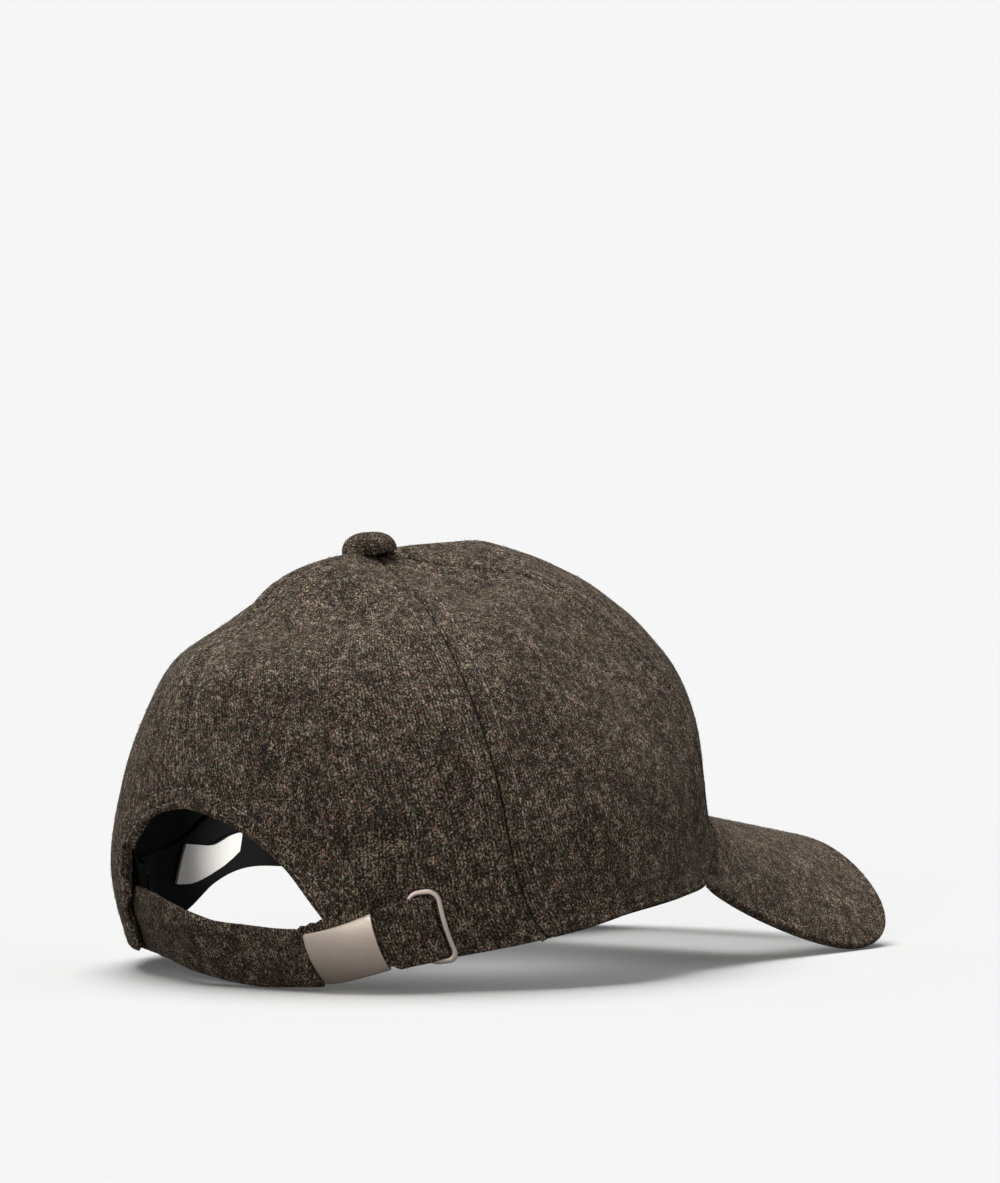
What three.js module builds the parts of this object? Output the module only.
// Peaked cap: six wool panels, a curved peak and an adjustable cloth strap at the back.
// Millimetres, +Z up. The peak points to -Y, the back to +Y, the wearer's right side to -X.
// Angles are in degrees about the crown's axis: 0 at the centre back, 90 at the wearer's right,
// 180 at the centre front. A level runs from 0 at the rim to 1 at the top of the crown.

import * as THREE from 'three';

// Where the part's own origin lies: bottom centre of the whole cap, on the surface it rests on.
const ORIGIN_X = 0;
const ORIGIN_Y = 43.4;

// Crown: one row for each level, with reaches from the axis and the share of the height climbed.
const CROWN_HEIGHT = 132.4;
const TOP_LEAN_X = 2;
const TOP_LEAN_Y = 12.5;
const TOP_LEAN_POWER = 1.5;
const FORWARD_TILT = 0.01;
const SECTIONS = [
  { level: -0.12, side: 101.7, back: 70.7, front: 112.7, riseBack: -0.088, riseSide: -0.071, riseFront: -0.123 },
  { level: 0.0, side: 97, back: 80, front: 105, riseBack: 0, riseSide: 0, riseFront: 0 },
  { level: 0.16, side: 94.4, back: 88.5, front: 102.1, riseBack: 0.147, riseSide: 0.13, riseFront: 0.223 },
  { level: 0.34, side: 90.9, back: 88.5, front: 102.6, riseBack: 0.353, riseSide: 0.317, riseFront: 0.5 },
  { level: 0.52, side: 81.5, back: 82.1, front: 96, riseBack: 0.564, riseSide: 0.517, riseFront: 0.732 },
  { level: 0.7, side: 64.6, back: 67.3, front: 80, riseBack: 0.749, riseSide: 0.725, riseFront: 0.922 },
  { level: 0.84, side: 45.1, back: 45.7, front: 58.1, riseBack: 0.849, riseSide: 0.848, riseFront: 1.019 },
  { level: 0.94, side: 23.6, back: 22.9, front: 32.1, riseBack: 0.977, riseSide: 0.91, riseFront: 1.05 },
  { level: 1.0, side: 0, back: 0, front: 0, riseBack: 1, riseSide: 1, riseFront: 1 },
];
const LOWEST_LEVEL = SECTIONS[0].level;
const HIGHEST_STRAP_LEVEL = 0.7;
const HALVING_STEPS = 30;

// Height of the rim above the surface the cap rests on; the left side sags more than the right.
const RIM = [
  { angle: -180, height: 45.3 },
  { angle: -150, height: 46.4 },
  { angle: -135, height: 38.5 },
  { angle: -120, height: 29.5 },
  { angle: -110, height: 28.9 },
  { angle: -100, height: 29.4 },
  { angle: -92, height: 25.2 },
  { angle: -84, height: 17.8 },
  { angle: -75, height: 13 },
  { angle: -60, height: 10.5 },
  { angle: -45, height: 7.5 },
  { angle: -30, height: 6.4 },
  { angle: 0, height: 9 },
  { angle: 30, height: 6.6 },
  { angle: 45, height: 9.2 },
  { angle: 60, height: 13.2 },
  { angle: 75, height: 17.6 },
  { angle: 90, height: 22.2 },
  { angle: 105, height: 24.8 },
  { angle: 115, height: 26 },
  { angle: 122, height: 27.6 },
  { angle: 135, height: 38 },
  { angle: 150, height: 46.2 },
  { angle: 180, height: 45.3 },
];

// Edge of the arched opening at the back, from the wearer's left ear to the right one.
const ARCH = [
  { angle: -31.8, level: 0 },
  { angle: -31.6, level: 0.045 },
  { angle: -31.2, level: 0.09 },
  { angle: -30, level: 0.135 },
  { angle: -28, level: 0.18 },
  { angle: -27.2, level: 0.225 },
  { angle: -26.4, level: 0.265 },
  { angle: -22.4, level: 0.306 },
  { angle: -14.5, level: 0.338 },
  { angle: -5, level: 0.35 },
  { angle: 0, level: 0.345 },
  { angle: 5, level: 0.332 },
  { angle: 10.8, level: 0.308 },
  { angle: 16.4, level: 0.273 },
  { angle: 21.2, level: 0.223 },
  { angle: 24.4, level: 0.173 },
  { angle: 27.6, level: 0.1 },
  { angle: 30, level: 0 },
];
const ARCH_CENTRE_ROW = 10;
const ARCH_COLUMNS = 10;

// Seams between the panels. The one at the centre back wanders to the wearer's left.
const BACK_SEAM = [
  { level: 0, angle: 0 },
  { level: 0.2, angle: 0 },
  { level: 0.345, angle: 0 },
  { level: 0.45, angle: -4 },
  { level: 0.56, angle: -7.5 },
  { level: 0.68, angle: -12 },
  { level: 0.76, angle: -15 },
  { level: 0.82, angle: -16 },
  { level: 0.88, angle: -13 },
  { level: 0.94, angle: -7 },
  { level: 1, angle: 0 },
];
const SIDE_SEAM_ANGLE = 64;
const SIDE_SEAM_SPREAD = 3.5;
const SIDE_SEAM_SPREAD_BELOW = 0.35;
const FRONT_SEAM_ANGLE = 127.5;
const FRONT_SEAM_SPREAD = 6;
const FRONT_SEAM_SPREAD_BELOW = 0.4;
const PANEL_TOP_LEVEL = 0.99;
const PANEL_ROWS = 14;
const PANEL_COLUMNS = 12;
const RIM_COLUMNS = 6;
const GAP = 0.3;

// Cloth thicknesses and how deep each inner layer starts below the crown's outer face.
const WOOL = 1.8;
const LINING = 1;
const LAYER_GAP = 0.6;
const LINING_DEPTH = WOOL + LAYER_GAP;
const LINING_HEM_LEVEL = 0.012;
const LINING_COLUMN_STRIDE = 2;
const SWEATBAND = 1.2;
const SWEATBAND_DEPTH = LINING_DEPTH + LINING + 2 * LAYER_GAP;
const SWEATBAND_HEIGHT = 24;
const SWEATBAND_END_ANGLE = 33;
const SWEATBAND_COLUMNS = 48;

// The lining and the sweatband step inward behind the left ear, where the strap is sewn in.
const STRAP_THICKNESS = 2.4;
const POCKET_DEPTH = STRAP_THICKNESS + 4 * GAP;
const POCKET_SWEATBAND_WIDENING = 12;
const POCKET_FROM_ANGLE = -42;
const POCKET_TO_ANGLE = -21;
const POCKET_FADE_ANGLE = 6;
const POCKET_TOP_HEIGHT = 31;
const POCKET_FADE_HEIGHT = 9;

// Label on the inner face of the sweatband, at the wearer's left.
const LABEL = 1;
const LABEL_DEPTH = SWEATBAND_DEPTH + SWEATBAND + LAYER_GAP;
const LABEL_ROWS = [
  { share: 0, lowerAngle: -75.4, lower: 24.3, upperAngle: -79.5, upper: 37.7 },
  { share: 0.35, lowerAngle: -83.2, lower: 24.6, upperAngle: -85.9, upper: 36.7 },
  { share: 0.65, lowerAngle: -90, lower: 27.9, upperAngle: -90.6, upper: 37 },
  { share: 0.85, lowerAngle: -94.4, lower: 31.6, upperAngle: -94.2, upper: 39.3 },
  { share: 1, lowerAngle: -97, lower: 34.4, upperAngle: -97.6, upper: 40.5 },
];
const LABEL_COLUMNS = 12;

// Strap: heights of its edges, and how far its mid surface lies outside the crown's outer face.
const STRAP = [
  { angle: -40, upper: 28, lower: 7, upperOut: -3.6, lowerOut: -3.6 },
  { angle: -25, upper: 28, lower: 6.1, upperOut: -3.6, lowerOut: -3.6 },
  { angle: -14, upper: 26.5, lower: 5, upperOut: -0.6, lowerOut: 1.2 },
  { angle: -5.5, upper: 23.4, lower: 2.8, upperOut: 1.2, lowerOut: 5 },
  { angle: 2, upper: 20.4, lower: 0.9, upperOut: 1.6, lowerOut: 6 },
  { angle: 9, upper: 19.6, lower: 0.05, upperOut: 1.8, lowerOut: 5.6 },
  { angle: 17.5, upper: 18.9, lower: 0.6, upperOut: 3.3, lowerOut: 4.8 },
  { angle: 23, upper: 19.2, lower: 1.2, upperOut: 4.3, lowerOut: 4.7 },
  { angle: 36, upper: 24.2, lower: 6.2, upperOut: 4.3, lowerOut: 4.5 },
  { angle: 41.5, upper: 27.5, lower: 8.3, upperOut: 4, lowerOut: 4 },
  { angle: 44.5, upper: 28.6, lower: 9.4, upperOut: 3.8, lowerOut: 3.8 },
  { angle: 47.2, upper: 28, lower: 11.1, upperOut: 2.1, lowerOut: 2.1 },
];
const STRAP_STEPS = 52;
const STRAP_BANDS = 3;
const STRAP_MM_PER_DEGREE = 1.57;

// Tail of the strap, folded back from the ring and tucked in behind the plate.
const TAIL_THICKNESS = 1.2;
const TAIL = [
  { angle: 19, upper: 16.5, lower: 6, out: 0.9 },
  { angle: 21, upper: 18.9, lower: 5.6, out: 1.1 },
  { angle: 23.2, upper: 20.2, lower: 5.6, out: 1.2 },
  { angle: 26.4, upper: 21.7, lower: 6.5, out: 1.2 },
  { angle: 29.4, upper: 23, lower: 8, out: 1.2 },
  { angle: 35.5, upper: 25, lower: 11, out: 1.2 },
  { angle: 40, upper: 26, lower: 13, out: 1.2 },
];
const TAIL_STEPS = 18;
const TAIL_BANDS = 2;

// Metal plate folded round the strap, open along the middle of its back.
const PLATE_FROM_ANGLE = 23.2;
const PLATE_TO_ANGLE = 36;
const PLATE_BOW = [
  { up: 0.2, out: 0.64 },
  { up: 0.5, out: 1 },
  { up: 0.8, out: 0.64 },
];
const PLATE_SHEET = 0.8;
const PLATE_CLEARANCE = 0.3;
const PLATE_LIP_WIDTH = 6;
const PLATE_STEPS = 8;
const PINCH_LOWER = 1.6;
const PINCH_UPPER_START = 2.6;
const PINCH_UPPER_END = 1.2;
const PINCH_FADE_ANGLE = 1.6;
const PINCH_MARGIN_ANGLE = 1.5;

// Rounded rectangle of flat wire that holds the strap's end.
const RING_HIDDEN_BAR_ANGLE = 42.9;
const RING_OUTER_BAR_ANGLE = 48.6;
const RING_RISE = 1.3;
const RING_HALF_HEIGHT = 10.4;
const RING_LIFT = 0.4;
const RING_CORNER = 3.2;
const RING_WIRE_WIDTH = 1.6;
const RING_WIRE_THICKNESS = 1.4;
const RING_STEPS = 36;
const RING_SIDES = 8;

// Peak: its outer edge from the centre to the corner, as shares of the way along that edge.
const PEAK_THICKNESS = 3;
const PEAK_HALF_ANGLE = 62;
const PEAK_SEAM_GAP = 0.9;
const PEAK_CORNER_GAP = 2;
const PEAK_CORNER_POWER = 6;
const PEAK_CAMBER = 0.6;
const PEAK_EDGE = [
  { share: 0, across: 0, forward: 177, height: 34.2 },
  { share: 0.2, across: 39, forward: 173.6, height: 29.9 },
  { share: 0.4, across: 69.7, forward: 162.7, height: 10.4 },
  { share: 0.6, across: 78.6, forward: 134.1, height: 0.8 },
  { share: 0.8, across: 78.9, forward: 85.8, height: 13.1 },
];
const PEAK_COLUMNS = 32;
const PEAK_ROWS = 6;

// Button at the top, with a shank through the hole between the panels' points.
const BUTTON_RADIUS = 8.8;
const BUTTON_HEIGHT = 6.2;
const BUTTON_SHANK_RADIUS = 2.6;
const BUTTON_SEGMENTS = 28;
const BUTTON_PROFILE_STEPS = 8;
const BUTTON_SIDE_POWER = 0.8;
const BUTTON_DOME_POWER = 0.9;
const BUTTON_TILT = -8;

const DEGREE = Math.PI / 180;
const mix = (a, b, share) => a + (b - a) * share;
const smoothstep = (value) => THREE.MathUtils.smoothstep(value, 0, 1);

// Natural cubic spline through the points, straight past its ends.
function naturalSpline(xs, ys) {
  const last = xs.length - 1;
  const bend = new Array(last + 1).fill(0);
  const carry = new Array(last + 1).fill(0);
  for (let i = 1; i < last; i += 1) {
    const left = xs[i] - xs[i - 1];
    const right = xs[i + 1] - xs[i];
    const slopeChange = (ys[i + 1] - ys[i]) / right - (ys[i] - ys[i - 1]) / left;
    const pivot = 2 * (left + right) - left * carry[i - 1];
    carry[i] = right / pivot;
    bend[i] = (6 * slopeChange - left * bend[i - 1]) / pivot;
  }
  for (let i = last - 1; i > 0; i -= 1) {
    bend[i] -= carry[i] * bend[i + 1];
  }
  const endSlope = (i, j) => {
    const width = xs[j] - xs[i];
    return (ys[j] - ys[i]) / width;
  };
  const firstSlope = endSlope(0, 1) - ((xs[1] - xs[0]) * bend[1]) / 6;
  const lastSlope = endSlope(last - 1, last) + ((xs[last] - xs[last - 1]) * bend[last - 1]) / 6;
  return (x) => {
    if (x <= xs[0]) return ys[0] + firstSlope * (x - xs[0]);
    if (x >= xs[last]) return ys[last] + lastSlope * (x - xs[last]);
    let i = 0;
    while (x > xs[i + 1]) i += 1;
    const width = xs[i + 1] - xs[i];
    const a = (xs[i + 1] - x) / width;
    const b = 1 - a;
    const cubic = (a * a * a - a) * bend[i] + (b * b * b - b) * bend[i + 1];
    return a * ys[i] + b * ys[i + 1] + (cubic * width * width) / 6;
  };
}

const column = (rows, key) => rows.map((row) => row[key]);
const splineOf = (rows, from, to) => naturalSpline(column(rows, from), column(rows, to));

const sideReach = splineOf(SECTIONS, 'level', 'side');
const backReach = splineOf(SECTIONS, 'level', 'back');
const frontReach = splineOf(SECTIONS, 'level', 'front');
const riseBack = splineOf(SECTIONS, 'level', 'riseBack');
const riseSide = splineOf(SECTIONS, 'level', 'riseSide');
const riseFront = splineOf(SECTIONS, 'level', 'riseFront');

// The rim's table goes on past the centre front, so that it is smooth there.
const rimSpline = splineOf([
  { angle: RIM[RIM.length - 2].angle - 360, height: RIM[RIM.length - 2].height },
  ...RIM,
  { angle: RIM[1].angle + 360, height: RIM[1].height },
], 'angle', 'height');

function rimHeight(angle) {
  return rimSpline(THREE.MathUtils.euclideanModulo(angle + 180, 360) - 180);
}

// Point on the crown's outer face.
function crownFace(angle, level) {
  const cosine = Math.cos(angle * DEGREE);
  const sine = Math.sin(angle * DEGREE);
  const isBack = cosine > 0;
  const reach = isBack ? backReach(level) : frontReach(level);
  const endRise = isBack ? riseBack(level) : riseFront(level);
  const rise = riseSide(level) * sine * sine + endRise * cosine * cosine;
  const lean = Math.pow(THREE.MathUtils.clamp(rise, 0, 1), TOP_LEAN_POWER);
  const height = mix(rimHeight(angle), CROWN_HEIGHT, rise);
  return new THREE.Vector3(
    -sideReach(level) * sine + TOP_LEAN_X * lean,
    reach * cosine + TOP_LEAN_Y * lean - FORWARD_TILT * height,
    height,
  );
}

// Outward direction of the crown's face.
function crownOut(angle, level) {
  const step = 0.002;
  const round = crownFace(angle + 0.1, level).sub(crownFace(angle - 0.1, level));
  const up = crownFace(angle, level + step).sub(crownFace(angle, level - step));
  return round.cross(up).normalize();
}

function crownPoint(angle, level, depth) {
  return crownFace(angle, level).addScaledVector(crownOut(angle, level), -depth);
}

// Level at which the crown's outer face reaches a height, found by halving.
function levelAtHeight(angle, height) {
  let low = LOWEST_LEVEL;
  let high = HIGHEST_STRAP_LEVEL;
  for (let i = 0; i < HALVING_STEPS; i += 1) {
    const middle = (low + high) / 2;
    if (crownFace(angle, middle).z < height) low = middle;
    else high = middle;
  }
  return (low + high) / 2;
}

// Point straight out from the crown's face at a given height.
function pointBeside(angle, height, out) {
  const level = levelAtHeight(angle, height);
  const outward = crownOut(angle, level).setZ(0).normalize();
  return crownFace(angle, level).addScaledVector(outward, out);
}

// How far the inner layers step in for the sewn end of the strap.
function pocket(angle, level, widening = 0) {
  const from = POCKET_FROM_ANGLE - widening;
  const around = smoothstep((angle - from + POCKET_FADE_ANGLE) / POCKET_FADE_ANGLE)
    * smoothstep((POCKET_TO_ANGLE + POCKET_FADE_ANGLE - angle) / POCKET_FADE_ANGLE);
  const height = crownFace(angle, level).z;
  const below = smoothstep((POCKET_TOP_HEIGHT + POCKET_FADE_HEIGHT - height) / POCKET_FADE_HEIGHT);
  return POCKET_DEPTH * around * below;
}

// Closed body from a list of corners and triangles, turned so that its faces point out.
function solid(name, points, triangles, material) {
  const signedVolume = triangles.reduce((sum, [a, b, c]) => {
    const normal = new THREE.Vector3().crossVectors(points[b], points[c]);
    return sum + points[a].dot(normal) / 6;
  }, 0);
  const facing = signedVolume > 0 ? triangles : triangles.map(([a, b, c]) => [a, c, b]);
  const geometry = new THREE.BufferGeometry();
  geometry.setFromPoints(points);
  geometry.setIndex(facing.flat());
  geometry.computeVertexNormals();
  const mesh = new THREE.Mesh(geometry, material);
  mesh.name = name;
  return mesh;
}

// Sheet of cloth or metal between two grids of points with the same rows and columns.
// A closed sheet joins its last column to its first; a capped one ends in a point at the top.
function sheet(name, outer, inner, material, { closed = false, capOuter = null, capInner = null } = {}) {
  const rows = outer.length;
  const columns = outer[0].length;
  const points = [...outer.flat(), ...inner.flat()];
  const triangles = [];
  const at = (side, row, col) => side * rows * columns + row * columns + (col % columns);
  const quad = (a, b, c, d) => triangles.push([a, b, c], [a, c, d]);
  const spans = closed ? columns : columns - 1;
  for (let col = 0; col < spans; col += 1) {
    for (let row = 0; row < rows - 1; row += 1) {
      quad(at(0, row, col), at(0, row, col + 1), at(0, row + 1, col + 1), at(0, row + 1, col));
      quad(at(1, row, col), at(1, row + 1, col), at(1, row + 1, col + 1), at(1, row, col + 1));
    }
    quad(at(0, 0, col), at(1, 0, col), at(1, 0, col + 1), at(0, 0, col + 1));
    if (!capOuter) {
      const top = rows - 1;
      quad(at(0, top, col), at(0, top, col + 1), at(1, top, col + 1), at(1, top, col));
    }
  }
  if (capOuter) {
    points.push(capOuter, capInner);
    const outerTip = points.length - 2;
    const innerTip = points.length - 1;
    for (let col = 0; col < spans; col += 1) {
      triangles.push([at(0, rows - 1, col), at(0, rows - 1, col + 1), outerTip]);
      triangles.push([at(1, rows - 1, col + 1), at(1, rows - 1, col), innerTip]);
    }
  }
  if (!closed) {
    for (let row = 0; row < rows - 1; row += 1) {
      const end = columns - 1;
      quad(at(0, row, 0), at(0, row + 1, 0), at(1, row + 1, 0), at(1, row, 0));
      quad(at(0, row, end), at(1, row, end), at(1, row + 1, end), at(0, row + 1, end));
    }
  }
  return solid(name, points, triangles, material);
}

const grid = (rows, columns, place) => Array.from({ length: rows + 1 }, (_, row) => (
  Array.from({ length: columns + 1 }, (_, col) => place(row / rows, col / columns, row, col))
));

// Seams, as angles on the wearer's right; the side and front ones are mirrored on the left.
function spread(level, below) {
  return Math.pow(Math.max(0, 1 - level / below), 2);
}

const sideSeam = (level) => SIDE_SEAM_ANGLE + SIDE_SEAM_SPREAD * spread(level, SIDE_SEAM_SPREAD_BELOW);
const frontSeam = (level) => FRONT_SEAM_ANGLE + FRONT_SEAM_SPREAD * spread(level, FRONT_SEAM_SPREAD_BELOW);
const backSeam = splineOf(BACK_SEAM, 'level', 'angle');
const centreBack = { right: (level) => backSeam(level), left: (level) => -backSeam(level) };
const centreFront = () => 180;

// Lower edge of a panel: how far each column lies between its seams, and its level there.
const plainEdge = Array.from({ length: PANEL_COLUMNS + 1 }, (_, i) => (
  { share: i / PANEL_COLUMNS, level: 0 }
));

// The back panels' lower edge climbs the arch and then follows the rim to the side seam.
function archedEdge(isRight) {
  const half = isRight ? ARCH.slice(ARCH_CENTRE_ROW) : ARCH.slice(0, ARCH_CENTRE_ROW + 1).reverse();
  const order = half.map((_, i) => i);
  const angleAt = naturalSpline(order, half.map((row) => Math.abs(row.angle)));
  const levelAt = naturalSpline(order, column(half, 'level'));
  const edge = [];
  for (let i = 0; i <= ARCH_COLUMNS; i += 1) {
    const place = (i / ARCH_COLUMNS) * (half.length - 1);
    const level = Math.max(0, levelAt(place));
    edge.push({ share: angleAt(place) / sideSeam(level), level });
  }
  const earShare = edge[ARCH_COLUMNS].share;
  for (let i = 1; i <= RIM_COLUMNS; i += 1) {
    edge.push({ share: mix(earShare, 1, i / RIM_COLUMNS), level: 0 });
  }
  return edge;
}

// Angle and level of a place on a panel, from its lower edge (share 0) to its point (share 1).
function panelPlace(edge, col, share, nearSeam, farSeam) {
  const start = edge[col];
  const level = mix(start.level, PANEL_TOP_LEVEL, share);
  const across = mix(start.share, col / (edge.length - 1), share);
  return { level, angle: mix(nearSeam(level), farSeam(level), across) };
}

function panel(name, side, edge, nearSeam, farSeam, material) {
  const face = (depth) => grid(PANEL_ROWS, edge.length - 1, (share, _, row, col) => {
    const { level, angle } = panelPlace(edge, col, share, nearSeam, farSeam);
    const perDegree = crownFace(angle + 0.5, level).distanceTo(crownFace(angle - 0.5, level));
    const halfGap = GAP / 2 / perDegree;
    let shift = 0;
    if (col === 0) shift = halfGap;
    if (col === edge.length - 1) shift = -halfGap;
    return crownPoint(side * (angle + shift), level, depth);
  });
  return sheet(name, face(0), face(WOOL), material);
}

// Materials.
const cloth = (color) => new THREE.MeshStandardMaterial({ color, roughness: 0.95, metalness: 0 });
const wool = cloth(0x4a4238);
const blackTwill = cloth(0x141312);
const whiteWoven = cloth(0xd9d8d4);
const satinMetal = new THREE.MeshStandardMaterial({ color: 0xaa9b90, roughness: 0.38, metalness: 1 });

// Lining: one closed skin under all the panels.
function lining() {
  const halves = { right: archedEdge(true), left: archedEdge(false) };
  const ring = [];
  const addPanel = (side, edge, nearSeam, farSeam, reversed) => {
    const columns = edge.map((_, col) => col);
    const ordered = reversed ? columns.reverse() : columns;
    for (let i = 0; i < ordered.length - 1; i += LINING_COLUMN_STRIDE) {
      ring.push({ side, edge, nearSeam, farSeam, col: ordered[i] });
    }
  };
  addPanel(1, halves.right, centreBack.right, sideSeam, false);
  addPanel(1, plainEdge, sideSeam, frontSeam, false);
  addPanel(1, plainEdge, frontSeam, centreFront, false);
  addPanel(-1, plainEdge, frontSeam, centreFront, true);
  addPanel(-1, plainEdge, sideSeam, frontSeam, true);
  addPanel(-1, halves.left, centreBack.left, sideSeam, true);
  const face = (extraDepth) => Array.from({ length: PANEL_ROWS + 1 }, (_, row) => ring.map((place) => {
    const share = row / PANEL_ROWS;
    const spot = panelPlace(place.edge, place.col, share, place.nearSeam, place.farSeam);
    const level = spot.level + LINING_HEM_LEVEL * (1 - share);
    const angle = place.side * spot.angle;
    return crownPoint(angle, level, LINING_DEPTH + extraDepth + pocket(angle, level));
  }));
  const top = new THREE.Vector3(TOP_LEAN_X, TOP_LEAN_Y, CROWN_HEIGHT - LINING_DEPTH);
  const topInner = top.clone().setZ(top.z - LINING);
  const ends = { closed: true, capOuter: top, capInner: topInner };
  return sheet('lining', face(0), face(LINING), blackTwill, ends);
}

// Sweatband: from the right ear round the front to the left ear.
function sweatband() {
  const face = (extraDepth) => grid(3, SWEATBAND_COLUMNS, (up, around) => {
    const angle = mix(SWEATBAND_END_ANGLE, 360 - SWEATBAND_END_ANGLE, around);
    const signed = angle > 180 ? angle - 360 : angle;
    const level = levelAtHeight(signed, rimHeight(signed) + SWEATBAND_HEIGHT * up);
    const step = pocket(signed, level, POCKET_SWEATBAND_WIDENING);
    return crownPoint(signed, level, SWEATBAND_DEPTH + extraDepth + step);
  });
  return sheet('sweatband', face(0), face(SWEATBAND), blackTwill);
}

function label() {
  const edge = (key) => splineOf(LABEL_ROWS, 'share', key);
  const lowerAngle = edge('lowerAngle');
  const upperAngle = edge('upperAngle');
  const lower = edge('lower');
  const upper = edge('upper');
  const face = (extraDepth) => grid(2, LABEL_COLUMNS, (up, along) => {
    const angle = mix(lowerAngle(along), upperAngle(along), up);
    const level = levelAtHeight(angle, mix(lower(along), upper(along), up));
    return crownPoint(angle, level, LABEL_DEPTH + extraDepth);
  });
  return sheet('label', face(0), face(LABEL), whiteWoven);
}

// Strap: a place on it by angle, by share of its width and by distance out from its mid surface.
const strapUpper = splineOf(STRAP, 'angle', 'upper');
const strapLower = splineOf(STRAP, 'angle', 'lower');
const strapUpperOut = splineOf(STRAP, 'angle', 'upperOut');
const strapLowerOut = splineOf(STRAP, 'angle', 'lowerOut');

// How far the plate pinches the strap at an angle, from 0 outside it to 1 inside.
function pinch(angle) {
  const reach = PINCH_FADE_ANGLE + PINCH_MARGIN_ANGLE;
  return smoothstep((angle - PLATE_FROM_ANGLE + reach) / PINCH_FADE_ANGLE)
    * smoothstep((PLATE_TO_ANGLE - angle + reach) / PINCH_FADE_ANGLE);
}

function strapMiddle(angle, up) {
  const along = (angle - PLATE_FROM_ANGLE) / (PLATE_TO_ANGLE - PLATE_FROM_ANGLE);
  const lower = strapLower(angle) + PINCH_LOWER * pinch(angle);
  const upper = strapUpper(angle) - mix(PINCH_UPPER_START, PINCH_UPPER_END, along) * pinch(angle);
  const height = mix(lower, upper, up);
  return pointBeside(angle, height, mix(strapLowerOut(angle), strapUpperOut(angle), up));
}

function strapPoint(angle, up, out) {
  const along = strapMiddle(angle + 0.2, up).sub(strapMiddle(angle - 0.2, up));
  const across = strapMiddle(angle, 1).sub(strapMiddle(angle, 0));
  const outward = along.cross(across).setZ(0).normalize();
  return strapMiddle(angle, up).addScaledVector(outward, out);
}

function backStrap() {
  const first = STRAP[0].angle;
  const last = STRAP[STRAP.length - 1].angle;
  const face = (out) => grid(STRAP_BANDS, STRAP_STEPS, (up, along) => (
    strapPoint(mix(first, last, along), up, out)
  ));
  return sheet('back_strap', face(STRAP_THICKNESS / 2), face(-STRAP_THICKNESS / 2), wool);
}

function strapTail() {
  const upper = splineOf(TAIL, 'angle', 'upper');
  const lower = splineOf(TAIL, 'angle', 'lower');
  const out = splineOf(TAIL, 'angle', 'out');
  const first = TAIL[0].angle;
  const last = TAIL[TAIL.length - 1].angle;
  const face = (side) => grid(TAIL_BANDS, TAIL_STEPS, (up, along) => {
    const angle = mix(first, last, along);
    return pointBeside(angle, mix(lower(angle), upper(angle), up), out(angle) + (side * TAIL_THICKNESS) / 2);
  });
  return sheet('strap_tail', face(1), face(-1), wool);
}

// Plate: its section runs up the front, over the strap's edges and a little way down the back.
function bucklePlate() {
  const inside = STRAP_THICKNESS / 2 + PLATE_CLEARANCE;
  const width = (angle) => strapMiddle(angle, 1).distanceTo(strapMiddle(angle, 0));
  const section = (angle, reach, overlap) => {
    const past = overlap / width(angle);
    const lip = PLATE_LIP_WIDTH / width(angle);
    const turns = [
      { up: lip, out: -reach },
      { up: -past, out: -reach },
      { up: -past, out: reach },
      ...PLATE_BOW.map((row) => ({ up: row.up, out: reach + row.out })),
      { up: 1 + past, out: reach },
      { up: 1 + past, out: -reach },
      { up: 1 - lip, out: -reach },
    ];
    return turns.map((turn) => strapPoint(angle, turn.up, turn.out));
  };
  const face = (grow) => Array.from({ length: PLATE_STEPS + 1 }, (_, row) => {
    const angle = mix(PLATE_FROM_ANGLE, PLATE_TO_ANGLE, row / PLATE_STEPS);
    return section(angle, inside + grow, PLATE_CLEARANCE + grow);
  });
  return sheet('buckle_plate', face(PLATE_SHEET), face(0), satinMetal);
}

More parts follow.
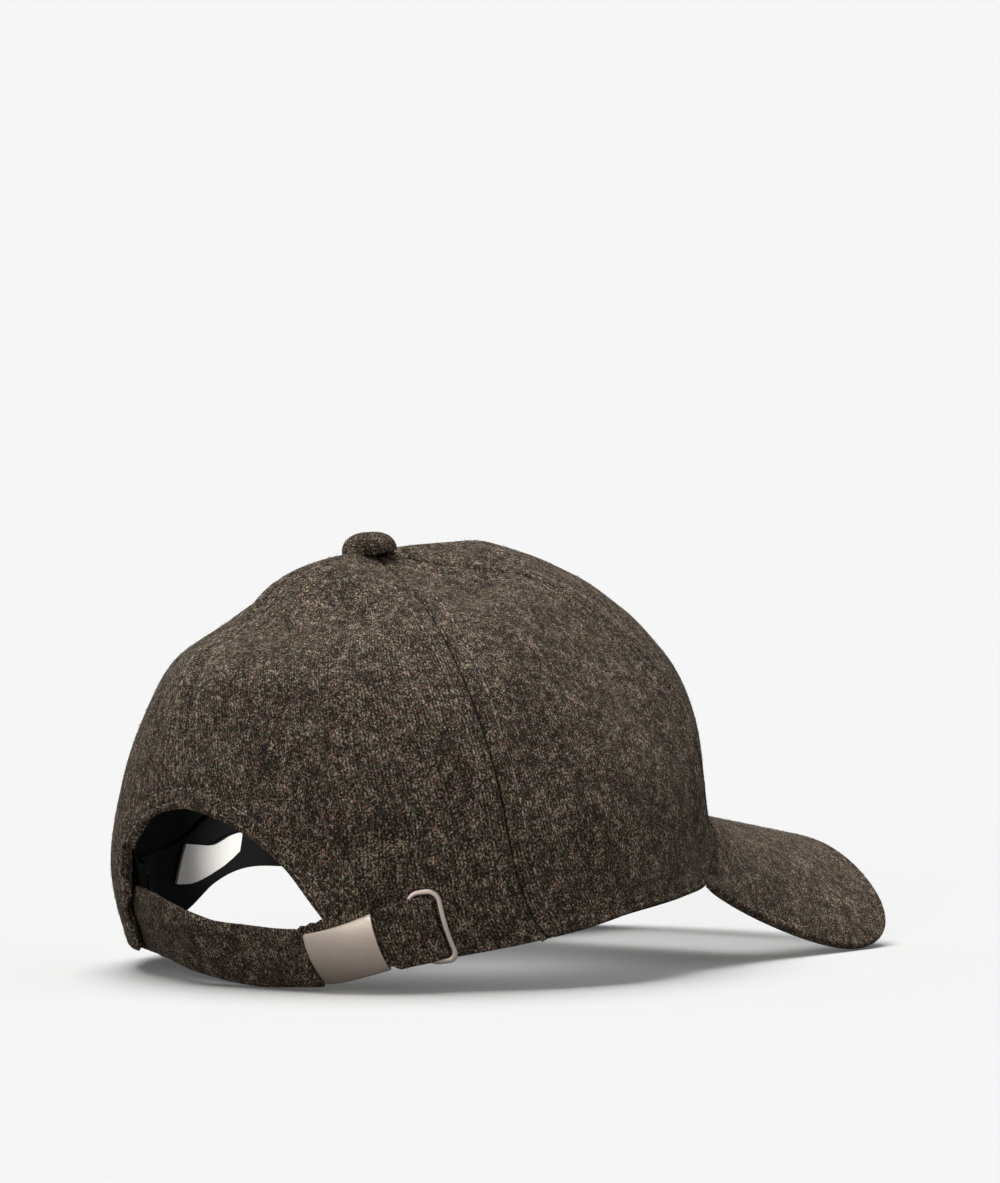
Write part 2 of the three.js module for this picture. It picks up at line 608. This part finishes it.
// Ring: flat wire along a rounded rectangle laid on the crown across the strap's line.
function keeperRing() {
  const middleAngle = (RING_HIDDEN_BAR_ANGLE + RING_OUTER_BAR_ANGLE) / 2;
  const halfWidth = ((RING_OUTER_BAR_ANGLE - RING_HIDDEN_BAR_ANGLE) / 2) * STRAP_MM_PER_DEGREE;
  const outline = new THREE.Path();
  outline.moveTo(halfWidth, 0);
  outline.lineTo(halfWidth, RING_HALF_HEIGHT - RING_CORNER);
  outline.quadraticCurveTo(halfWidth, RING_HALF_HEIGHT, halfWidth - RING_CORNER, RING_HALF_HEIGHT);
  outline.lineTo(RING_CORNER - halfWidth, RING_HALF_HEIGHT);
  outline.quadraticCurveTo(-halfWidth, RING_HALF_HEIGHT, -halfWidth, RING_HALF_HEIGHT - RING_CORNER);
  outline.lineTo(-halfWidth, RING_CORNER - RING_HALF_HEIGHT);
  outline.quadraticCurveTo(-halfWidth, -RING_HALF_HEIGHT, RING_CORNER - halfWidth, -RING_HALF_HEIGHT);
  outline.lineTo(halfWidth - RING_CORNER, -RING_HALF_HEIGHT);
  outline.quadraticCurveTo(halfWidth, -RING_HALF_HEIGHT, halfWidth, RING_CORNER - RING_HALF_HEIGHT);
  outline.lineTo(halfWidth, 0);
  const points = [];
  for (let step = 0; step < RING_STEPS; step += 1) {
    const share = step / RING_STEPS;
    const centre = outline.getPointAt(share);
    const tangent = outline.getTangentAt(share);
    for (let side = 0; side < RING_SIDES; side += 1) {
      const turn = (side / RING_SIDES) * 2 * Math.PI;
      const outward = (Math.cos(turn) * RING_WIRE_WIDTH) / 2;
      const x = centre.x + tangent.y * outward;
      const y = centre.y - tangent.x * outward;
      const lift = RING_RISE + (Math.sin(turn) * RING_WIRE_THICKNESS) / 2;
      const angle = middleAngle + x / STRAP_MM_PER_DEGREE;
      const height = (strapUpper(angle) + strapLower(angle)) / 2 + RING_LIFT + y;
      points.push(pointBeside(angle, height, lift));
    }
  }
  const triangles = [];
  for (let step = 0; step < RING_STEPS; step += 1) {
    for (let side = 0; side < RING_SIDES; side += 1) {
      const next = (step + 1) % RING_STEPS;
      const beside = (side + 1) % RING_SIDES;
      const a = step * RING_SIDES + side;
      const b = next * RING_SIDES + side;
      const c = next * RING_SIDES + beside;
      const d = step * RING_SIDES + beside;
      triangles.push([a, b, c], [a, c, d]);
    }
  }
  return solid('keeper_ring', points, triangles, satinMetal);
}

// Peak: its mid surface runs from the crown's rim to its own curved outer edge.
function peak() {
  const seam = (share) => {
    const gap = PEAK_SEAM_GAP + PEAK_CORNER_GAP * share ** PEAK_CORNER_POWER;
    return crownPoint(180 - PEAK_HALF_ANGLE * share, 0, -gap);
  };
  const corner = seam(1);
  const right = [
    ...PEAK_EDGE,
    { share: 1, across: -corner.x, forward: -corner.y, height: corner.z },
  ];
  const left = right.slice(1).reverse().map((row) => ({ ...row, share: -row.share, across: -row.across }));
  const rows = [...left, ...right];
  const across = splineOf(rows, 'share', 'across');
  const forward = splineOf(rows, 'share', 'forward');
  const height = splineOf(rows, 'share', 'height');
  const middle = (share, out) => {
    const outer = new THREE.Vector3(-across(share), -forward(share), height(share));
    const camber = PEAK_CAMBER * 4 * out * (1 - out) * (1 - share * share);
    return seam(share).lerp(outer, out).add(new THREE.Vector3(0, 0, camber));
  };
  const upward = (share, out) => {
    const near = THREE.MathUtils.clamp(share, -0.97, 0.97);
    const sideways = middle(near + 0.01, out).sub(middle(near - 0.01, out));
    const outwards = middle(near, out + 0.01).sub(middle(near, out - 0.01));
    return sideways.cross(outwards).normalize();
  };
  const face = (side) => grid(PEAK_ROWS, PEAK_COLUMNS, (out, along) => {
    const share = mix(-1, 1, along);
    return middle(share, out).addScaledVector(upward(share, out), (side * PEAK_THICKNESS) / 2);
  });
  return sheet('peak', face(1), face(-1), wool);
}

// Button: a low dome with a shank.
function button() {
  const shankLength = WOOL + GAP;
  const profile = [new THREE.Vector2(0, -shankLength), new THREE.Vector2(BUTTON_SHANK_RADIUS, -shankLength)];
  profile.push(new THREE.Vector2(BUTTON_SHANK_RADIUS, 0));
  for (let i = 0; i <= BUTTON_PROFILE_STEPS; i += 1) {
    const turn = (i / BUTTON_PROFILE_STEPS) * (Math.PI / 2);
    const across = BUTTON_RADIUS * Math.cos(turn) ** BUTTON_SIDE_POWER;
    profile.push(new THREE.Vector2(across, BUTTON_HEIGHT * Math.sin(turn) ** BUTTON_DOME_POWER));
  }
  profile[profile.length - 1].x = 0;
  const geometry = new THREE.LatheGeometry(profile, BUTTON_SEGMENTS);
  const mesh = new THREE.Mesh(geometry, wool);
  mesh.name = 'button';
  mesh.rotation.x = Math.PI / 2 + BUTTON_TILT * DEGREE;
  mesh.position.set(TOP_LEAN_X, TOP_LEAN_Y, CROWN_HEIGHT + 2 * GAP);
  return mesh;
}

// The whole cap, moved so that the origin is at its bottom centre.
const cap = new THREE.Group();
for (const [name, side] of [['right', 1], ['left', -1]]) {
  cap.add(panel(`panel_back_${name}`, side, archedEdge(side > 0), centreBack[name], sideSeam, wool));
  cap.add(panel(`panel_side_${name}`, side, plainEdge, sideSeam, frontSeam, wool));
  cap.add(panel(`panel_front_${name}`, side, plainEdge, frontSeam, centreFront, wool));
}
cap.add(peak(), button(), lining(), sweatband(), label());
cap.add(backStrap(), strapTail(), bucklePlate(), keeperRing());
cap.position.set(ORIGIN_X, ORIGIN_Y, 0);

const group = new THREE.Group();
group.add(cap);

export default group;
